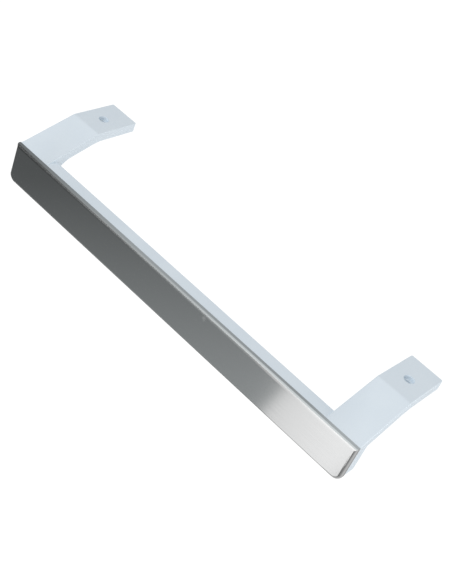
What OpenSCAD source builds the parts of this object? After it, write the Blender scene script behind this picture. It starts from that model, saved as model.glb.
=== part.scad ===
// Refrigerator door handle: a white moulding with two arms, and a steel trim over its front bar.
// Frame: X along the bar, Y from the front trim towards the back, Z up out of the screw pads.
// Origin: midway between the two screw holes, on the plane where the pads seat on the door's side.

/* [Trim] */
// Height of the trim's face
trim_h = 35.4; // [28:0.2:46]
// Depth of the trim, from its face to the back edge of its rim
trim_depth = 4.4; // [3.4:0.1:6]
// Outside radius of the roll between the trim's face and its rim
trim_roll_r = 2.8; // [1.4:0.1:3.4]
// Radius of the trim's two lower corners
trim_corner_r = 6.8; // [4.6:0.1:9]
// Thickness of the trim's sheet
sheet_t = 0.6; // [0.4:0.1:0.9]
// Gap between the trim and the moulding under it
trim_fit = 0.1; // [0.05:0.05:0.2]

/* [Bar] */
// Depth of the bar, from the trim's face to the back that the fingers reach
bar_depth = 16.2; // [13:0.1:24]
// Rounding of the bar's upper back edge
bar_top_r = 1.2; // [0.6:0.1:2]
// Rounding of the bar's lower back edge
bar_low_r = 3; // [1:0.1:5]
// How far the moulding stands in from the trim's outside
body_step = 0.2; // [0.1:0.05:0.3]
// Wall of the bar, which is cored from the front
bar_wall = 2.6; // [1.8:0.1:3.4]
// Thickness of the ribs inside the bar
bar_rib_t = 1.8; // [1.2:0.1:3]
// Pitch of the ribs inside the bar, from its middle
bar_rib_pitch = 31; // [20:1:60]

/* [Arms] */
// Distance between the two screw holes
hole_spacing = 340; // [270:1:414]
// Distance from a screw hole sideways to the trim's end
end_past_hole = 16; // [13:0.1:20]
// Distance from the trim's face back to the crease where the arm turns level
crease_back = 57.4; // [40:0.2:80]
// Distance from that crease back to the screw hole
hole_past_crease = 20.3; // [12:0.1:30]
// Distance from the screw hole back to the pad's end
pad_past_hole = 25.7; // [14:0.1:40]
// Angle at which the arms rise
arm_slope = 17.3; // [10:0.1:24]
// Thickness of the sloping arm
arm_t = 7.8; // [7:0.1:10]
// Thickness of the pads
pad_t = 7.7; // [6.6:0.1:9.5]
// Width of an arm at the bar
arm_w_root = 32.7; // [28:0.1:40]
// Width of a pad at its end
arm_w_tip = 30.9; // [26:0.1:36]
// Rounding of the pads' corners, seen from above
tip_r = 3; // [1:0.1:5]
// Rounding along the arms' upper edges
edge_r = 1; // [0.5:0.1:1.5]
// Radius of the crease where the arm turns level
crease_r = 8; // [3:1:20]
// Rounding of the pads' lower back edge
tip_low_r = 1.5; // [0.6:0.1:2.5]
// Radius of the hollow under the arm's bend
under_r = 45; // [20:1:60]
// Radius under the arm where it leaves the bar
root_r = 2; // [1:0.5:5]
// Radius of the haunch that deepens the arm's inner wall towards the bar
haunch_r = 22; // [10:1:28]

/* [Screws and coring] */
// Bore for the screw's shank
screw_d = 4.8; // [3.4:0.1:6]
// Recess for the screw's head
head_d = 9; // [7:0.1:11]
// Depth of that recess
head_deep = 3.2; // [2:0.1:4]
// Wall round the head's recess, seen from below as a boss
boss_wall = 2.2; // [1.4:0.1:3]
// Side walls of the arms, which are cored from below
arm_wall = 2.6; // [1.8:0.1:3.4]
// Skin left over the arms' coring
arm_skin = 2.8; // [2:0.1:3.6]
// Thickness of the ribs under the arms
arm_rib_t = 1.8; // [1.2:0.1:3]
// Pitch of the ribs under an arm, from the one through its screw boss
arm_rib_pitch = 16; // [12:1:40]

/* [Hidden] */
$fn = 64;
// Widest step between the points of a rounded outline, in degrees and along the arc
arc_step = 9;
arc_chord = 1.5;
// Overrun of a cut past the surface that it opens
over = 1;

hole_x = hole_spacing / 2;
half_len = hole_x + end_past_hole;
side_x = half_len - body_step;
front_y = -hole_past_crease - crease_back;
rim_y = front_y + trim_depth;
shoulder_y = rim_y + trim_fit;
bar_back_y = front_y + bar_depth;
crease_y = -hole_past_crease;
tip_y = pad_past_hole;
nose_in = sheet_t + trim_fit;
arm_taper = (arm_w_root - arm_w_tip) / (tip_y - bar_back_y);

rise = tan(arm_slope);
bar_top_z = pad_t - (crease_y - shoulder_y) * rise;
trim_top_z = bar_top_z + body_step;
trim_low_z = trim_top_z - trim_h;
// Height of the arm's underside where it meets the bar's back, and where that underside turns level
root_z = slope_z(bar_back_y) - arm_t / cos(arm_slope);
under_y = crease_y + (arm_t / cos(arm_slope) - pad_t) / rise;

function slope_z(y) = bar_top_z + (y - shoulder_y) * rise;
function unit(v) = v / norm(v);

// Points that round one corner b of an outline, between its neighbours a and c; b[2] is the radius.
function corner(a, b, c) =
    b[2] == 0 ? [[b[0], b[1]]] :
    let (
        at = [b[0], b[1]],
        u = unit([a[0], a[1]] - at),
        w = unit([c[0], c[1]] - at),
        half = acos(u * w) / 2,
        mid = at + unit(u + w) * b[2] / sin(half),
        turn = 180 - 2 * half,
        side = sign(u[0] * w[1] - u[1] * w[0]),
        from = atan2(at[1] + u[1] * b[2] / tan(half) - mid[1], at[0] + u[0] * b[2] / tan(half) - mid[0]),
        steps = ceil(max(turn / arc_step, turn * PI / 180 * b[2] / arc_chord))
    )
    [for (k = [0 : steps]) let (t = from - side * turn * k / steps) mid + b[2] * [cos(t), sin(t)]];

// A closed outline of corners [x, y, radius].
function rounded(p) =
    [for (i = [0 : len(p) - 1]) each corner(p[(i + len(p) - 1) % len(p)], p[i], p[(i + 1) % len(p)])];

// Stretches an outline in X and Z backwards from y0 to y1.
module along_y(y0, y1) {
    translate([0, y1, 0])
        rotate([90, 0, 0])
            linear_extrude(y1 - y0)
                children();
}

// Stretches an outline in Y and Z sideways from x0 to x1.
module along_x(x0, x1) {
    translate([x0, 0, 0])
        rotate([90, 0, 90])
            linear_extrude(x1 - x0)
                children();
}

// Stretches an outline in X and Y upwards from z0 to z1.
module along_z(z0, z1) {
    translate([0, 0, z0])
        linear_extrude(z1 - z0)
            children();
}

// Both ends of the handle, from the right one.
module both_ends() {
    children();
    mirror([1, 0, 0])
        children();
}

// The bar seen from the front, a given distance inside the trim's outside: square above, round below.
module front_outline(inset) {
    x = half_len - inset;
    r = trim_corner_r - inset;
    polygon(rounded([
        [-x, trim_top_z - inset, 0],
        [-x, trim_low_z + inset, r],
        [x, trim_low_z + inset, r],
        [x, trim_top_z - inset, 0],
    ]));
}

// The tray's form with its rolled edge, a given distance inside the trim's outside, back to back_y.
module tray_form(inset, back_y) {
    x = half_len - inset;
    top = trim_top_z - inset;
    low = trim_low_z + inset;
    front = front_y + inset;
    roll = trim_roll_r - inset;
    corner_x = half_len - trim_corner_r;
    corner_z = trim_low_z + trim_corner_r;
    difference() {
        intersection() {
            along_x(-half_len - over, half_len + over)
                polygon(rounded([[front, low, roll], [front, top, roll], [back_y, top, 0], [back_y, low, 0]]));
            along_z(trim_low_z - over, trim_top_z + over)
                polygon(rounded([[-x, front, roll], [x, front, roll], [x, back_y, 0], [-x, back_y, 0]]));
        }
        both_ends()
            translate([corner_x, front_y - over, trim_low_z - over])
                cube([trim_corner_r + over, back_y - front_y + 2 * over, trim_corner_r + over]);
    }
    both_ends()
        translate([corner_x, 0, corner_z])
            rotate([-90, 0, 0])
                rotate_extrude(angle = 90)
                    polygon(rounded([
                        [0, front, 0],
                        [trim_corner_r - inset, front, roll],
                        [trim_corner_r - inset, back_y, 0],
                        [0, back_y, 0],
                    ]));
}

// The bar behind the trim.
module bar() {
    intersection() {
        along_y(shoulder_y, bar_back_y)
            front_outline(body_step);
        along_x(-half_len, half_len)
            polygon(rounded([
                [front_y, trim_low_z + body_step, 0],
                [front_y, bar_top_z, 0],
                [bar_back_y, bar_top_z, bar_top_r],
                [bar_back_y, trim_low_z + body_step, bar_low_r],
            ]));
    }
}

// Inner side of an arm, a straight line in plan from the bar to the pad's end.
function inner_x(y) = half_len - arm_w_root + arm_taper * (y - bar_back_y);

// An arm and its pad, seen from the side, with its root inside the bar.
module arm_side() {
    polygon(rounded([
        [shoulder_y, root_z - root_r - over, 0],
        [shoulder_y, bar_top_z, 0],
        [crease_y, pad_t, crease_r],
        [tip_y, pad_t, edge_r],
        [tip_y, 0, tip_low_r],
        [under_y, 0, under_r],
        [bar_back_y, root_z, root_r],
        [bar_back_y, root_z - root_r - over, 0],
    ]));
}

// An arm and its pad, seen from above.
module arm_plan() {
    polygon(rounded([
        [inner_x(shoulder_y), shoulder_y, 0],
        [side_x, shoulder_y, 0],
        [side_x, tip_y, tip_r],
        [inner_x(tip_y), tip_y, tip_r],
    ]));
}

// A large block with one long rounded upper edge that runs through the crease, for trimming an arm.
// taper is the edge's sideways run in plan, lift the slope of the face beside it.
module edge_block(x, taper, lift, flip) {
    big = 2 * (tip_y - front_y);
    translate([x, crease_y, pad_t])
        rotate([lift, 0, 0])
            rotate([0, 0, -atan(taper * cos(lift))])
                mirror([flip, 0, 0])
                    along_y(-big, big)
                        polygon(rounded([[0, 0, edge_r], [-big, 0, 0], [-big, -big, 0], [0, -big, 0]]));
}

// The arm's inner wall runs on below the arm as a haunch, which curves down the bar's back.
module haunch() {
    y0 = bar_back_y - over;
    y1 = bar_back_y + haunch_r;
    slope = [cos(arm_slope), sin(arm_slope)];
    root = [bar_back_y, root_z];
    intersection() {
        along_x(inner_x(y0) - over, half_len)
            polygon(concat(
                [root + over * [-1, 1]],
                corner(root + slope, [root[0], root[1], haunch_r], root - [0, 1])
            ));
        along_z(root_z - haunch_r, slope_z(y1))
            polygon([
                [inner_x(y0), y0],
                [inner_x(y0) + arm_wall, y0],
                [inner_x(y1) + arm_wall, y1],
                [inner_x(y1), y1],
            ]);
    }
}

module arm() {
    haunch();
    intersection() {
        along_x(inner_x(shoulder_y) - over, half_len + over)
            arm_side();
        along_z(root_z - root_r - 2 * over, pad_t + over)
            arm_plan();
        edge_block(side_x, 0, 0, 0);
        edge_block(side_x, 0, arm_slope, 0);
        edge_block(inner_x(crease_y), arm_taper, 0, 1);
        edge_block(inner_x(crease_y), arm_taper, arm_slope, 1);
    }
}

// Space cored out of an arm from below, between its walls, ribs and screw boss.
module arm_core() {
    y0 = bar_back_y + arm_wall;
    y1 = tip_y - arm_wall;
    top = pad_t - arm_skin;
    low = root_z - root_r - over;
    difference() {
        intersection() {
            along_x(inner_x(y0), half_len)
                polygon([
                    [y0, low],
                    [y0, slope_z(y0) - arm_skin / cos(arm_slope)],
                    [crease_y + arm_skin * tan(arm_slope / 2), top],
                    [y1, top],
                    [y1, low],
                ]);
            along_z(low - over, pad_t)
                polygon([
                    [inner_x(y0) + arm_wall, y0],
                    [side_x - arm_wall, y0],
                    [side_x - arm_wall, y1],
                    [inner_x(y1) + arm_wall, y1],
                ]);
        }
        for (k = [ceil((y0 + arm_rib_t) / arm_rib_pitch) : floor((y1 - arm_rib_t) / arm_rib_pitch)])
            translate([0, k * arm_rib_pitch - arm_rib_t / 2, low - over])
                cube([half_len, arm_rib_t, pad_t - low + over]);
        translate([hole_x, 0, low - over])
            cylinder(d = head_d + 2 * boss_wall, h = pad_t - low + over);
    }
}

// Bore for the screw, with a recess for its head.
module screw_hole() {
    translate([hole_x, 0, -over])
        cylinder(d = screw_d, h = pad_t + 2 * over);
    translate([hole_x, 0, pad_t - head_deep])
        cylinder(d = head_d, h = head_deep + over);
}

// Space cored out of the bar from the front, between ribs that back the trim.
module bar_core() {
    inset = nose_in + bar_wall;
    ribs = floor((half_len - inset - bar_rib_t) / bar_rib_pitch);
    difference() {
        along_y(front_y, bar_back_y - bar_wall)
            front_outline(inset);
        for (k = [-ribs : ribs])
            translate([k * bar_rib_pitch - bar_rib_t / 2, front_y - over, trim_low_z])
                cube([bar_rib_t, bar_depth + 2 * over, trim_h]);
    }
}

// The moulding: bar, arms and pads in one piece.
module handle_body() {
    color("whitesmoke")
        difference() {
            union() {
                tray_form(nose_in, shoulder_y + over);
                bar();
                both_ends()
                    arm();
            }
            bar_core();
            both_ends() {
                arm_core();
                screw_hole();
            }
        }
}

// The steel trim: a shallow tray pressed from one sheet.
module front_trim() {
    color("silver")
        difference() {
            tray_form(0, rim_y);
            tray_form(sheet_t, rim_y + over);
        }
}

handle_body();
front_trim();
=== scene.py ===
"""Dresses the solids of a refrigerator door handle and sets up the studio that shows it.

The moulding and the trim keep their solids' meshes. Live modifiers merge the loose triangles, break the
edges and smooth the roundings, and each piece gets a finish made of nodes. The stage is a pale floor, soft
light, glowing cards that only mirrors see, which paint the steel's reflections, and a camera at the
photograph's angle.
"""

import math

import bmesh
import bpy
from mathutils import Matrix, Vector


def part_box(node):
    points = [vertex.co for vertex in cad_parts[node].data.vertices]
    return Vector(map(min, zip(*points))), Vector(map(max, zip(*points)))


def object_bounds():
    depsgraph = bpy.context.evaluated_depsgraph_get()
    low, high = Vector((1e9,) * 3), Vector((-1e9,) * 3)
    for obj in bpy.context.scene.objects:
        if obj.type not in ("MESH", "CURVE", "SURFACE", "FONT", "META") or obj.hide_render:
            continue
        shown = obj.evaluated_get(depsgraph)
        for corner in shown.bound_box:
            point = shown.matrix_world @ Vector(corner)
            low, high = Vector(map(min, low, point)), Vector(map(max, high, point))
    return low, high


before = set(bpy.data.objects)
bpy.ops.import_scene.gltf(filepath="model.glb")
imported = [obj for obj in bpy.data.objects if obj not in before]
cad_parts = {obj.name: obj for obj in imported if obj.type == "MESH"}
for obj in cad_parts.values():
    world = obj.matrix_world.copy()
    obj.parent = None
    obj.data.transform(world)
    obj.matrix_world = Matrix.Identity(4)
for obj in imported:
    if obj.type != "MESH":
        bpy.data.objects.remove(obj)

bl_info = {
    "name": "Door Handle Dresser",
    "version": (1, 0, 0),
    "blender": (4, 5, 0),
    "location": "View3D > Sidebar > Handle",
    "description": "Finishes a moulded door handle with a steel trim and sets up its studio",
    "category": "Object",
}

MOULDING = "handle_body"
TRIM = "front_trim"
MM = 0.001
WHITE = (1.0, 1.0, 1.0)

# How the solids' meshes are refined
MERGE_WITHIN = 0.002 * MM
FLAT_WITHIN = math.radians(0.2)
BREAK_FROM = math.radians(35)
BREAK_SEGMENTS = 2
PLASTIC_SHARP_FROM = math.radians(35)
STEEL_SHARP_FROM = math.radians(12)

# The patterns in the finishes
NOISE_LOW = 0.3
NOISE_HIGH = 0.7
CLOUD_DETAIL = 3
GRAIN_DETAIL = 2
STREAK_DETAIL = 3
GRAIN_STRENGTH = 0.3
STREAK_STRENGTH = 0.4
SMUDGE_CORE = 0.2

# The floor, whose paint is thinner where it shows because it also glows there
FLOOR_RADIUS = 6.0
FLOOR_SEGMENTS = 96
FLOOR_PAINT = 0.85
FLOOR_THIN_PAINT = 0.30
FLOOR_GLOW = 0.82

# Glowing cards, seen only in mirrors, that paint the steel's reflections
CARD_LIFT = 2 * MM
BEND_STEPS = 24
FRONT_RADIUS = 0.45
FRONT_LOW = math.radians(-35)
FRONT_HIGH = math.radians(80)
TENT_RADIUS = 1.6
TENT_LOW = math.radians(-12)
TENT_TOP = math.radians(100)
TENT_BACK = math.radians(170)
COOL = (0.945, 1.0, 1.01)
COOLER = (0.93, 1.0, 1.035)
ALONG_BAR = (1, 0, 0)
ACROSS_BAR = (0, 1, 0)

# The camera, whose sensor is in millimetres
SENSOR = 36.0
CLIP_START = 10 * MM

CAD_LOW, CAD_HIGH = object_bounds()
CAD_MIDDLE = (CAD_LOW + CAD_HIGH) / 2
TRIM_LOW, TRIM_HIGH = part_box(TRIM)
TRIM_MIDDLE = (TRIM_LOW + TRIM_HIGH) / 2


class PlasticFinish(bpy.types.PropertyGroup):
    """The white moulding's finish."""

    colour: bpy.props.FloatVectorProperty(
        name="Colour",
        description="The plastic's own colour",
        subtype="COLOR",
        size=3,
        min=0.0,
        max=1.0,
        default=(0.745, 0.822, 0.885),
    )
    shade: bpy.props.FloatVectorProperty(
        name="Shade",
        description="The slightly deeper colour where the moulding cooled thicker",
        subtype="COLOR",
        size=3,
        min=0.0,
        max=1.0,
        default=(0.715, 0.795, 0.865),
    )
    gloss_low: bpy.props.FloatProperty(
        name="Least roughness",
        description="Roughness of the glossiest patches",
        subtype="FACTOR",
        min=0.0,
        max=1.0,
        default=0.30,
    )
    gloss_high: bpy.props.FloatProperty(
        name="Most roughness",
        description="Roughness of the dullest patches",
        subtype="FACTOR",
        min=0.0,
        max=1.0,
        default=0.42,
    )
    grain: bpy.props.FloatProperty(
        name="Grain",
        description="Size of the mould's fine grain",
        unit="LENGTH",
        subtype="DISTANCE",
        default=0.7 * MM,
    )
    grain_depth: bpy.props.FloatProperty(
        name="Grain depth",
        description="Depth of the mould's fine grain",
        unit="LENGTH",
        subtype="DISTANCE",
        precision=6,
        default=0.02 * MM,
    )
    cloud: bpy.props.FloatProperty(
        name="Cloud",
        description="Size of the faint clouds in colour and gloss",
        unit="LENGTH",
        subtype="DISTANCE",
        default=28 * MM,
    )
    edge: bpy.props.FloatProperty(
        name="Edge",
        description="Radius left by the mould on edges that have no rounding of their own",
        unit="LENGTH",
        subtype="DISTANCE",
        precision=5,
        default=0.25 * MM,
    )


class SteelFinish(bpy.types.PropertyGroup):
    """The pressed trim's finish."""

    colour: bpy.props.FloatVectorProperty(
        name="Colour",
        description="What the steel mirrors of white light",
        subtype="COLOR",
        size=3,
        min=0.0,
        max=1.0,
        default=(0.80, 0.805, 0.805),
    )
    streak_colour: bpy.props.FloatVectorProperty(
        name="Streak colour",
        description="What the deeper brush marks mirror",
        subtype="COLOR",
        size=3,
        min=0.0,
        max=1.0,
        default=(0.765, 0.77, 0.772),
    )
    rough_low: bpy.props.FloatProperty(
        name="Least roughness",
        description="Roughness between the brush marks",
        subtype="FACTOR",
        min=0.0,
        max=1.0,
        default=0.115,
    )
    rough_high: bpy.props.FloatProperty(
        name="Most roughness",
        description="Roughness in the brush marks",
        subtype="FACTOR",
        min=0.0,
        max=1.0,
        default=0.155,
    )
    streak_length: bpy.props.FloatProperty(
        name="Streak length",
        description="Length of the brush marks, along the bar",
        unit="LENGTH",
        subtype="DISTANCE",
        default=45 * MM,
    )
    streak_width: bpy.props.FloatProperty(
        name="Streak width",
        description="Width of the brush marks",
        unit="LENGTH",
        subtype="DISTANCE",
        precision=5,
        default=0.35 * MM,
    )
    streak_depth: bpy.props.FloatProperty(
        name="Streak depth",
        description="Depth of the brush marks",
        unit="LENGTH",
        subtype="DISTANCE",
        precision=6,
        default=0.0004 * MM,
    )
    smudge_rough: bpy.props.FloatProperty(
        name="Smudge roughness",
        description="Roughness in the middle of the small dull smudge on the trim's face",
        subtype="FACTOR",
        min=0.0,
        max=1.0,
        default=0.32,
    )
    smudge_at: bpy.props.FloatVectorProperty(
        name="Smudge place",
        description="Where the smudge sits on the trim's face",
        unit="LENGTH",
        subtype="XYZ",
        size=3,
        default=(36.3 * MM, TRIM_LOW.y, -13.0 * MM),
    )
    smudge_size: bpy.props.FloatProperty(
        name="Smudge size",
        description="Radius of the smudge",
        unit="LENGTH",
        subtype="DISTANCE",
        precision=5,
        default=4.5 * MM,
    )
    edge: bpy.props.FloatProperty(
        name="Edge",
        description="Radius on the sheet's cut edge",
        unit="LENGTH",
        subtype="DISTANCE",
        precision=5,
        default=0.08 * MM,
    )


class Studio(bpy.types.PropertyGroup):
    """The camera, the light and the floor."""

    azimuth: bpy.props.FloatProperty(
        name="Azimuth",
        description="How far the camera stands towards +X from straight in front",
        unit="ROTATION",
        subtype="ANGLE",
        default=math.radians(27.870),
    )
    elevation: bpy.props.FloatProperty(
        name="Elevation",
        description="How far the camera stands above the bar",
        unit="ROTATION",
        subtype="ANGLE",
        default=math.radians(36.929),
    )
    roll: bpy.props.FloatProperty(
        name="Roll",
        description="How far the camera is turned about its own axis",
        unit="ROTATION",
        subtype="ANGLE",
        default=math.radians(23.901),
    )
    aim: bpy.props.FloatVectorProperty(
        name="Aim",
        description="The point in the trim's plane that the middle of the picture shows",
        unit="LENGTH",
        subtype="XYZ",
        size=3,
        default=(44.23 * MM, TRIM_LOW.y, 20.23 * MM),
    )
    distance: bpy.props.FloatProperty(
        name="Distance",
        description="From the camera to the point that it aims at",
        unit="LENGTH",
        subtype="DISTANCE",
        default=773.5 * MM,
    )
    lens: bpy.props.FloatProperty(
        name="Lens",
        description="Focal length, for a sensor that lies along the picture's taller side",
        unit="CAMERA",
        subtype="DISTANCE_CAMERA",
        default=66.929,
    )
    drop: bpy.props.FloatProperty(
        name="Floor drop",
        description="How far the floor lies below the bar, which a door carries",
        unit="LENGTH",
        subtype="DISTANCE",
        default=277 * MM,
    )
    ambient: bpy.props.FloatProperty(
        name="Ambient light",
        description="Strength of the even light from all round",
        min=0.0,
        default=0.67,
    )
    key: bpy.props.FloatProperty(
        name="Key light",
        description="What the key light adds to a white surface that faces it",
        min=0.0,
        default=0.42,
    )
    key_way: bpy.props.FloatVectorProperty(
        name="Key direction",
        description="The way from the handle to the key light",
        subtype="DIRECTION",
        size=3,
        default=(-0.25, -0.85, 0.50),
    )
    fill: bpy.props.FloatProperty(
        name="Fill light",
        description="What the fill light adds to a white surface that faces it",
        min=0.0,
        default=0.293,
    )
    fill_way: bpy.props.FloatVectorProperty(
        name="Fill direction",
        description="The way from the handle to the fill light",
        subtype="DIRECTION",
        size=3,
        default=(0.98, -0.15, 0.044),
    )
    key_away: bpy.props.FloatProperty(
        name="Key distance",
        description="From the handle to the key light",
        unit="LENGTH",
        subtype="DISTANCE",
        default=3.0,
    )
    key_size: bpy.props.FloatVectorProperty(
        name="Key size",
        description="Width and height of the key light",
        unit="LENGTH",
        size=2,
        default=(2.4, 2.4),
    )
    fill_away: bpy.props.FloatProperty(
        name="Fill distance",
        description="From the handle to the fill light",
        unit="LENGTH",
        subtype="DISTANCE",
        default=2.0,
    )
    fill_size: bpy.props.FloatVectorProperty(
        name="Fill size",
        description="Width and height of the fill light, which stands just above the floor",
        unit="LENGTH",
        size=2,
        default=(1.2, 0.76),
    )


def add_node(tree, kind, **inputs):
    """A new node of a tree, with the values or links that its input sockets get by name."""
    node = tree.nodes.new(kind)
    for name, value in inputs.items():
        feed(tree, node.inputs[name.replace("_", " ")], value)
    return node


def feed(tree, socket, value):
    """Links a socket to another socket, or sets its value."""
    if isinstance(value, bpy.types.NodeSocket):
        tree.links.new(value, socket)
    else:
        socket.default_value = value


def colour_of(rgb):
    """An opaque colour for a socket."""
    return (*rgb, 1.0)


def grey_of(shade):
    """An opaque grey for a socket."""
    return colour_of((shade, shade, shade))


def mix_colour(tree, share, first, second):
    """The colour that lies a share of the way from the first to the second."""
    mixer = tree.nodes.new("ShaderNodeMix")
    mixer.data_type = "RGBA"
    feed(tree, mixer.inputs["Factor"], share)
    feed(tree, mixer.inputs["A"], first)
    feed(tree, mixer.inputs["B"], second)
    return mixer.outputs["Result"]


def spread_over(tree, value, low, high, start, end):
    """A value that runs from low to high while the given one runs from start to end."""
    ranger = tree.nodes.new("ShaderNodeMapRange")
    feed(tree, ranger.inputs["Value"], value)
    for name, number in (("From Min", start), ("From Max", end), ("To Min", low), ("To Max", high)):
        ranger.inputs[name].default_value = number
    return ranger.outputs["Result"]


def noise(tree, place, size, detail):
    """Noise whose lumps are about as wide as the given size, in the units of its place."""
    made = add_node(tree, "ShaderNodeTexNoise", Vector=place, Scale=1 / size, Detail=detail)
    return made.outputs["Fac"]


def new_material(name):
    """(material, tree, its principled shader, the piece's own coordinates)."""
    made = bpy.data.materials.new(name)
    made.use_nodes = True
    tree = made.node_tree
    shader = tree.nodes["Principled BSDF"]
    place = tree.nodes.new("ShaderNodeTexCoord").outputs["Object"]
    return made, tree, shader, place


def white_plastic(look):
    """Bluish white moulded plastic with a satin gloss, faint clouds and the mould's fine grain."""
    made, tree, shader, place = new_material("white_plastic_satin")
    clouds = noise(tree, place, look.cloud, CLOUD_DETAIL)
    grain = noise(tree, place, look.grain, GRAIN_DETAIL)
    tint = spread_over(tree, clouds, 0.0, 1.0, NOISE_LOW, NOISE_HIGH)
    colour = mix_colour(tree, tint, colour_of(look.colour), colour_of(look.shade))
    tree.links.new(colour, shader.inputs["Base Color"])
    gloss = spread_over(tree, clouds, look.gloss_low, look.gloss_high, NOISE_LOW, NOISE_HIGH)
    tree.links.new(gloss, shader.inputs["Roughness"])
    bump = add_node(
        tree,
        "ShaderNodeBump",
        Strength=GRAIN_STRENGTH,
        Distance=look.grain_depth,
        Height=grain,
    )
    tree.links.new(bump.outputs["Normal"], shader.inputs["Normal"])
    return made


def brushed_steel(look):
    """Steel brushed along the bar, with streaks in colour, gloss and height, and one dull smudge."""
    made, tree, shader, place = new_material("trim_steel_brushed")
    shader.inputs["Metallic"].default_value = 1.0
    streak_scale = (1 / look.streak_length, 1 / look.streak_width, 1 / look.streak_width)
    along = add_node(tree, "ShaderNodeMapping", Vector=place, Scale=streak_scale)
    streaks = noise(tree, along.outputs["Vector"], 1.0, STREAK_DETAIL)
    tint = spread_over(tree, streaks, 0.0, 1.0, NOISE_LOW, NOISE_HIGH)
    colour = mix_colour(tree, tint, colour_of(look.colour), colour_of(look.streak_colour))
    tree.links.new(colour, shader.inputs["Base Color"])

    from_smudge = tree.nodes.new("ShaderNodeVectorMath")
    from_smudge.operation = "DISTANCE"
    feed(tree, from_smudge.inputs[0], place)
    feed(tree, from_smudge.inputs[1], look.smudge_at)
    away = from_smudge.outputs["Value"]
    core = SMUDGE_CORE * look.smudge_size
    smudge = spread_over(tree, away, look.smudge_rough, 0.0, core, look.smudge_size)
    brushed = spread_over(tree, streaks, look.rough_low, look.rough_high, NOISE_LOW, NOISE_HIGH)
    rougher = tree.nodes.new("ShaderNodeMath")
    rougher.operation = "MAXIMUM"
    feed(tree, rougher.inputs[0], brushed)
    feed(tree, rougher.inputs[1], smudge)
    tree.links.new(rougher.outputs["Value"], shader.inputs["Roughness"])
    bump = add_node(
        tree,
        "ShaderNodeBump",
        Strength=STREAK_STRENGTH,
        Distance=look.streak_depth,
        Height=streaks,
    )
    tree.links.new(bump.outputs["Normal"], shader.inputs["Normal"])
    return made


def smooth_roundings(name, sharp_from):
    """Nodes that shade a mesh smooth, apart from edges that turn by more than the given angle."""
    group = bpy.data.node_groups.new(name, "GeometryNodeTree")
    group.is_modifier = True
    for way in ("INPUT", "OUTPUT"):
        group.interface.new_socket("Geometry", in_out=way, socket_type="NodeSocketGeometry")
    given = group.nodes.new("NodeGroupInput")
    result = group.nodes.new("NodeGroupOutput")
    turn = group.nodes.new("GeometryNodeInputMeshEdgeAngle")
    sharp = add_node(group, "FunctionNodeCompare", A=turn.outputs["Unsigned Angle"], B=sharp_from)
    own_normals = group.nodes.new("GeometryNodeRemoveAttribute")
    feed(group, own_normals.inputs["Geometry"], given.outputs["Geometry"])
    own_normals.inputs["Name"].default_value = "custom_normal"
    faces = group.nodes.new("GeometryNodeSetShadeSmooth")
    feed(group, faces.inputs["Geometry"], own_normals.outputs["Geometry"])
    edges = group.nodes.new("GeometryNodeSetShadeSmooth")
    edges.domain = "EDGE"
    feed(group, edges.inputs["Geometry"], faces.outputs["Geometry"])
    feed(group, edges.inputs["Selection"], sharp.outputs["Result"])
    edges.inputs["Shade Smooth"].default_value = False
    feed(group, result.inputs["Geometry"], edges.outputs["Geometry"])
    return group


def refine(node, edge, sharp_from):
    """Live modifiers that merge a solid's triangles, break its edges and smooth its roundings."""
    weld = node.modifiers.new("merge_triangles", "WELD")
    weld.merge_threshold = MERGE_WITHIN
    flat = node.modifiers.new("join_flats", "DECIMATE")
    flat.decimate_type = "DISSOLVE"
    flat.angle_limit = FLAT_WITHIN
    bevel = node.modifiers.new("break_edges", "BEVEL")
    bevel.affect = "EDGES"
    bevel.limit_method = "ANGLE"
    bevel.angle_limit = BREAK_FROM
    bevel.width = edge
    bevel.segments = BREAK_SEGMENTS
    bevel.profile = 0.5
    bevel.material = -1
    smooth = node.modifiers.new("smooth_roundings", "NODES")
    smooth.node_group = smooth_roundings(node.name + "_roundings", sharp_from)
    even = node.modifiers.new("keep_flats_even", "WEIGHTED_NORMAL")
    even.keep_sharp = True


def wear(node, material):
    """Gives a solid its finish."""
    node.data.materials.clear()
    node.data.materials.append(material)


def link_stage(name, shape):
    """A stage object made from a bmesh, whose place is in its mesh."""
    mesh = bpy.data.meshes.new(name)
    shape.to_mesh(mesh)
    shape.free()
    made = bpy.data.objects.new(name, mesh)
    bpy.context.scene.collection.objects.link(made)
    return made


def shows_background(tree):
    """1 for a ray that shows the background, straight or in a mirror or glass, and else 0."""
    path = tree.nodes.new("ShaderNodeLightPath")
    straight_or_mirrored = tree.nodes.new("ShaderNodeMath")
    straight_or_mirrored.operation = "MAXIMUM"
    feed(tree, straight_or_mirrored.inputs[0], path.outputs["Is Camera Ray"])
    feed(tree, straight_or_mirrored.inputs[1], path.outputs["Is Glossy Ray"])
    shown = tree.nodes.new("ShaderNodeMath")
    shown.operation = "MAXIMUM"
    feed(tree, shown.inputs[0], straight_or_mirrored.outputs["Value"])
    feed(tree, shown.inputs[1], path.outputs["Is Transmission Ray"])
    return shown.outputs["Value"]


def light_the_room(studio):
    """A world that is white where it shows and lights the handle evenly."""
    world = bpy.data.worlds.new("studio")
    bpy.context.scene.world = world
    world.use_nodes = True
    tree = world.node_tree
    tree.nodes.clear()
    white = colour_of(WHITE)
    light = add_node(tree, "ShaderNodeBackground", Color=white, Strength=studio.ambient)
    backdrop = add_node(tree, "ShaderNodeBackground", Color=white, Strength=1.0)
    chosen = tree.nodes.new("ShaderNodeMixShader")
    feed(tree, chosen.inputs["Fac"], shows_background(tree))
    feed(tree, chosen.inputs[1], light.outputs["Background"])
    feed(tree, chosen.inputs[2], backdrop.outputs["Background"])
    output = tree.nodes.new("ShaderNodeOutputWorld")
    feed(tree, output.inputs["Surface"], chosen.outputs["Shader"])


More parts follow.
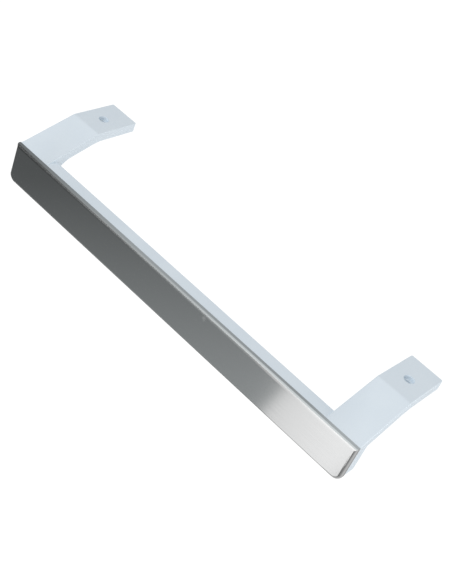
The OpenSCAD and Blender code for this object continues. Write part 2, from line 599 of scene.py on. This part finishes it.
def lay_floor(height):
    """A pale floor far below the bar, white to the eye, that still takes the handle's shadow."""
    shape = bmesh.new()
    bmesh.ops.create_circle(shape, cap_ends=True, segments=FLOOR_SEGMENTS, radius=FLOOR_RADIUS)
    bmesh.ops.translate(shape, verts=shape.verts, vec=(0, 0, height))
    floor = link_stage("floor", shape)
    made = bpy.data.materials.new("pale_floor")
    made.cycles.emission_sampling = "NONE"
    made.use_nodes = True
    tree = made.node_tree
    tree.nodes.clear()
    paint = add_node(tree, "ShaderNodeBsdfDiffuse", Color=grey_of(FLOOR_PAINT))
    thin_paint = add_node(tree, "ShaderNodeBsdfDiffuse", Color=grey_of(FLOOR_THIN_PAINT))
    glow = add_node(tree, "ShaderNodeEmission", Color=colour_of(WHITE), Strength=FLOOR_GLOW)
    seen = tree.nodes.new("ShaderNodeAddShader")
    feed(tree, seen.inputs[0], thin_paint.outputs["BSDF"])
    feed(tree, seen.inputs[1], glow.outputs["Emission"])
    chosen = tree.nodes.new("ShaderNodeMixShader")
    feed(tree, chosen.inputs["Fac"], shows_background(tree))
    feed(tree, chosen.inputs[1], paint.outputs["BSDF"])
    feed(tree, chosen.inputs[2], seen.outputs["Shader"])
    output = tree.nodes.new("ShaderNodeOutputMaterial")
    feed(tree, output.inputs["Surface"], chosen.outputs["Shader"])
    floor.data.materials.append(made)


def flat_card(corners):
    """A flat sheet through the given corners."""
    shape = bmesh.new()
    shape.faces.new([shape.verts.new(corner) for corner in corners])
    return shape


def level_card(left, right, front, back, height):
    """A level sheet between two places along the bar and two across it."""
    return flat_card(
        [
            (left, front, height),
            (right, front, height),
            (right, back, height),
            (left, back, height),
        ]
    )


def upright_card(place, front, back, foot, top):
    """A sheet that stands square to the bar at a place along it."""
    return flat_card(
        [
            (place, front, foot),
            (place, back, foot),
            (place, back, top),
            (place, front, top),
        ]
    )


def swept_card(left, right, from_angle, to_angle, radius):
    """A sheet bent round the bar's length, from one angle above straight ahead to another."""
    shape = bmesh.new()
    outward = Matrix.Rotation(-from_angle, 3, "X") @ Vector((0, -radius, 0))
    start = TRIM_MIDDLE + outward
    ends = [shape.verts.new((x, start.y, start.z)) for x in (left, right)]
    edge = shape.edges.new(ends)
    bmesh.ops.spin(
        shape,
        geom=[*ends, edge],
        cent=TRIM_MIDDLE,
        axis=(-1, 0, 0),
        angle=to_angle - from_angle,
        steps=BEND_STEPS,
    )
    return shape


def slant_top(shape, left, right):
    """Cuts a sheet off above a line, seen from the front, through two (x, height above the bar) points."""
    along = Vector((right[0] - left[0], 0, right[1] - left[1]))
    bmesh.ops.bisect_plane(
        shape,
        geom=[*shape.verts, *shape.edges, *shape.faces],
        plane_co=(left[0], 0, TRIM_MIDDLE.z + left[1]),
        plane_no=along.cross(Vector(ACROSS_BAR)),
        clear_outer=True,
    )


def hang_reflection_glow(name, shape, tint):
    """(tree, its glow) of a glowing card in a tint, which only mirrors see and which lights nothing else:
    it paints a reflection.
    """
    card = link_stage(name, shape)
    for hidden_from in ("camera", "diffuse", "shadow", "transmission", "volume_scatter"):
        setattr(card, "visible_" + hidden_from, False)
    made = bpy.data.materials.new(name + "_painted_reflection")
    made.cycles.emission_sampling = "NONE"
    made.use_nodes = True
    tree = made.node_tree
    tree.nodes.clear()
    # The card only glows and is hidden from all but mirrors: its emission is a painted reflection, not a
    # lit grey surface.
    glow = add_node(tree, "ShaderNodeEmission", Color=colour_of(tint))
    output = tree.nodes.new("ShaderNodeOutputMaterial")
    feed(tree, output.inputs["Surface"], glow.outputs["Emission"])
    card.data.materials.append(made)
    return tree, glow


def plain_reflection_glow(name, shape, shade, tint=WHITE):
    """A card that glows at one level, painting an even reflection."""
    tree, glow = hang_reflection_glow(name, shape, tint)
    feed(tree, glow.inputs["Strength"], shade)


def graded_reflection_glow(name, shape, way, places, glow_levels, bow=1.0, tint=WHITE):
    """A card whose glow runs from one level to another between two places along a way, painting a graded
    reflection.
    """
    tree, glow = hang_reflection_glow(name, shape, tint)
    along = tree.nodes.new("ShaderNodeVectorMath")
    along.operation = "DOT_PRODUCT"
    feed(tree, along.inputs[0], tree.nodes.new("ShaderNodeTexCoord").outputs["Object"])
    feed(tree, along.inputs[1], way)
    roots = [shade ** (1 / bow) for shade in glow_levels]
    ramp = spread_over(tree, along.outputs["Value"], *roots, *places)
    bowed = tree.nodes.new("ShaderNodeMath")
    bowed.operation = "POWER"
    feed(tree, bowed.inputs[0], ramp)
    feed(tree, bowed.inputs[1], bow)
    feed(tree, glow.inputs["Strength"], bowed.outputs["Value"])


def lay_floor_cards(height):
    """Glowing cards on the floor that paint the steel's reflections: dark to the left, bright ahead of the
    bar, and greys below and beside it.
    """
    level = height + CARD_LIFT
    far_left = -2.4
    far_front = -2.4
    mid_front = -0.80
    near_front = -0.12
    bright_right = 0.110
    under_left = -0.4
    under_right = 0.20
    under_back = 0.15
    side_right = 1.2
    side_back = 0.17
    rim_left = 0.15
    rim_right = 0.6
    rim_back = 0.6
    far_border = (-0.55, far_front, level)
    mid_border = (-0.0932, mid_front, level)
    near_border = (0.0428, near_front, level)

    dark = flat_card(
        [
            (far_left, far_front, level),
            far_border,
            mid_border,
            near_border,
            (far_left, near_front, level),
        ]
    )
    leaning = (1, 0.8, 0)
    graded_reflection_glow(
        "dark_card",
        dark,
        leaning,
        places=(-0.765, -0.345),
        glow_levels=(0.101, 0.305),
        bow=1.6,
        tint=COOL,
    )

    bright = flat_card(
        [
            mid_border,
            (bright_right, mid_front, level),
            (bright_right, near_front, level),
            near_border,
        ]
    )
    slanting = (1, -0.4, 0)
    graded_reflection_glow("bright_card", bright, slanting, places=(0.132, 0.272), glow_levels=(0.80, 1.10))

    under = level_card(under_left, under_right, near_front, under_back, level)
    graded_reflection_glow("under_card", under, ALONG_BAR, places=(-0.3, 0.3), glow_levels=(0.15, 0.40))

    side = flat_card(
        [
            (bright_right, mid_front, level),
            (side_right, mid_front, level),
            (side_right, side_back, level),
            (under_right, side_back, level),
            (bright_right, near_front, level),
        ]
    )
    graded_reflection_glow("side_card", side, ACROSS_BAR, places=(-0.38, -0.10), glow_levels=(0.19, 0.58))

    rim = level_card(rim_left, rim_right, side_back, rim_back, level)
    plain_reflection_glow("rim_card", rim, shade=0.40)


def stand_end_cards(height):
    """Upright glowing cards past both ends of the bar, which paint the reflections in the trim's ends."""
    foot = height + CARD_LIFT
    top = 0.7
    front = -1.2
    back = 1.4
    right_place = 1.15
    left_place = -1.6
    places = (-0.6, 0.8)
    right = upright_card(right_place, front, back, foot, top)
    graded_reflection_glow("right_end_card", right, ACROSS_BAR, places, glow_levels=(0.75, 0.44))
    left = upright_card(left_place, front, back, foot, top)
    graded_reflection_glow("left_end_card", left, ACROSS_BAR, places, glow_levels=(0.24, 0.50))


def bend_front_cards():
    """A dark and a bright glowing card bent close round the bar's front, each cut off on a slant at its
    top, which paint the reflections in the trim's face and roll.
    """
    far_left = -1.2
    border = -0.066
    far_right = 0.6
    dark_from = -0.477
    dark_to = -0.091
    dark = swept_card(far_left, border, FRONT_LOW, FRONT_HIGH, FRONT_RADIUS)
    slant_top(dark, left=(dark_from, 0.437), right=(dark_to, 0.252))
    graded_reflection_glow(
        "front_dark_card",
        dark,
        ALONG_BAR,
        places=(dark_from, dark_to),
        glow_levels=(0.052, 0.316),
        bow=2,
        tint=COOL,
    )
    bright = swept_card(border, far_right, FRONT_LOW, FRONT_HIGH, FRONT_RADIUS)
    slant_top(bright, left=(border, 0.225), right=(0.054, 0.30))
    graded_reflection_glow("front_bright_card", bright, ALONG_BAR, places=(border, 0.033), glow_levels=(0.274, 1.05))


def hang_tent():
    """A tent of glowing cards bent over the bar from its front to its back, darker towards the left, which
    paints the reflections in the trim's roll and top.
    """
    far_left = -2.4
    back_border = -0.87
    end_border = -0.24
    far_right = 1.2
    end_top = math.radians(97)
    end_radius = TENT_RADIUS - 10 * MM

    top = swept_card(far_left, far_right, TENT_LOW, TENT_TOP, TENT_RADIUS)
    graded_reflection_glow(
        "top_card",
        top,
        ALONG_BAR,
        places=(-1.36, -0.22),
        glow_levels=(0.10, 0.80),
        bow=0.7,
        tint=COOL,
    )

    back_left = swept_card(far_left, back_border, TENT_TOP, TENT_BACK, TENT_RADIUS)
    graded_reflection_glow(
        "back_left_card",
        back_left,
        ALONG_BAR,
        places=(-1.35, -0.90),
        glow_levels=(0.16, 0.42),
        tint=COOLER,
    )

    back_right = swept_card(back_border, end_border, TENT_TOP, TENT_BACK, TENT_RADIUS)
    graded_reflection_glow(
        "back_right_card",
        back_right,
        ALONG_BAR,
        places=(back_border, -0.30),
        glow_levels=(0.43, 0.35),
        tint=COOLER,
    )

    back_end = swept_card(end_border, far_right, end_top, TENT_BACK, end_radius)
    plain_reflection_glow("back_end_card", back_end, shade=0.53, tint=COOLER)


def hang_lamp(name, way, level, away, size):
    """A large soft lamp that adds the given level to a white surface facing it."""
    lamp = bpy.data.lights.new(name, "AREA")
    lamp.shape = "RECTANGLE"
    lamp.size = size[0]
    lamp.size_y = size[1]
    lamp.energy = level * (math.pi * away) ** 2
    outward = Vector(way).normalized()
    made = bpy.data.objects.new(name, lamp)
    turn = outward.to_track_quat("Z", "Y").to_matrix().to_4x4()
    made.matrix_world = Matrix.Translation(CAD_MIDDLE + outward * away) @ turn
    bpy.context.scene.collection.objects.link(made)


def place_camera(studio):
    """A camera at the photograph's angle, for an image of 452 by 584 pixels."""
    flat = math.cos(studio.elevation)
    ahead = Vector(
        (
            -math.sin(studio.azimuth) * flat,
            math.cos(studio.azimuth) * flat,
            -math.sin(studio.elevation),
        )
    )
    level = ahead.cross(Vector((0, 0, 1))).normalized()
    upright = level.cross(ahead)
    right = level * math.cos(studio.roll) + upright * math.sin(studio.roll)
    up = right.cross(ahead)
    turn = Matrix((right, up, -ahead)).transposed().to_4x4()
    lens = bpy.data.cameras.new("camera")
    lens.sensor_width = SENSOR
    lens.lens = studio.lens
    lens.clip_start = CLIP_START
    made = bpy.data.objects.new("camera", lens)
    made.matrix_world = Matrix.Translation(Vector(studio.aim) - ahead * studio.distance) @ turn
    bpy.context.scene.collection.objects.link(made)
    bpy.context.scene.camera = made


class HANDLE_OT_dress_moulding(bpy.types.Operator):
    """Finish the white moulding: the bar, its arms and its screw pads."""

    bl_idname = "handle.dress_moulding"
    bl_label = "Dress moulding"

    def execute(self, context):
        look = context.scene.handle_plastic
        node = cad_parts[MOULDING]
        refine(node, look.edge, PLASTIC_SHARP_FROM)
        wear(node, white_plastic(look))
        return {"FINISHED"}


class HANDLE_OT_dress_trim(bpy.types.Operator):
    """Finish the pressed steel trim on the bar's front."""

    bl_idname = "handle.dress_trim"
    bl_label = "Dress trim"

    def execute(self, context):
        look = context.scene.handle_steel
        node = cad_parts[TRIM]
        refine(node, look.edge, STEEL_SHARP_FROM)
        wear(node, brushed_steel(look))
        return {"FINISHED"}


class HANDLE_OT_set_stage(bpy.types.Operator):
    """Set up the floor, the light, the glowing cards that paint the steel's reflections, and the camera.
    """

    bl_idname = "handle.set_stage"
    bl_label = "Set stage"

    def execute(self, context):
        studio = context.scene.handle_studio
        floor_height = CAD_LOW.z - studio.drop
        light_the_room(studio)
        lay_floor(floor_height)
        lay_floor_cards(floor_height)
        stand_end_cards(floor_height)
        bend_front_cards()
        hang_tent()
        hang_lamp("key", studio.key_way, studio.key, studio.key_away, studio.key_size)
        hang_lamp("fill", studio.fill_way, studio.fill, studio.fill_away, studio.fill_size)
        place_camera(studio)
        context.scene.view_settings.view_transform = "Standard"
        return {"FINISHED"}


class HANDLE_PT_dresser(bpy.types.Panel):
    """The sidebar panel that lists the steps and their settings."""

    bl_label = "Door handle"
    bl_idname = "HANDLE_PT_dresser"
    bl_space_type = "VIEW_3D"
    bl_region_type = "UI"
    bl_category = "Handle"

    def draw(self, context):
        for step, settings in STEPS:
            box = self.layout.box()
            box.operator(step.bl_idname)
            group = getattr(context.scene, settings)
            for name in group.__annotations__:
                box.prop(group, name)


STEPS = (
    (HANDLE_OT_dress_moulding, "handle_plastic"),
    (HANDLE_OT_dress_trim, "handle_steel"),
    (HANDLE_OT_set_stage, "handle_studio"),
)
SETTINGS = (
    ("handle_plastic", PlasticFinish),
    ("handle_steel", SteelFinish),
    ("handle_studio", Studio),
)
CLASSES = (
    PlasticFinish,
    SteelFinish,
    Studio,
    HANDLE_OT_dress_moulding,
    HANDLE_OT_dress_trim,
    HANDLE_OT_set_stage,
    HANDLE_PT_dresser,
)


def register():
    """Registers the classes and hangs their settings on the scene."""
    for each in CLASSES:
        bpy.utils.register_class(each)
    for name, group in SETTINGS:
        setattr(bpy.types.Scene, name, bpy.props.PointerProperty(type=group))


def unregister():
    """Takes the settings and the classes away again."""
    for name, _ in SETTINGS:
        delattr(bpy.types.Scene, name)
    for each in reversed(CLASSES):
        bpy.utils.unregister_class(each)


def main():
    """Runs the steps in order."""
    register()
    bpy.ops.handle.dress_moulding()
    bpy.ops.handle.dress_trim()
    bpy.ops.handle.set_stage()


if __name__ == "__main__":
    main()
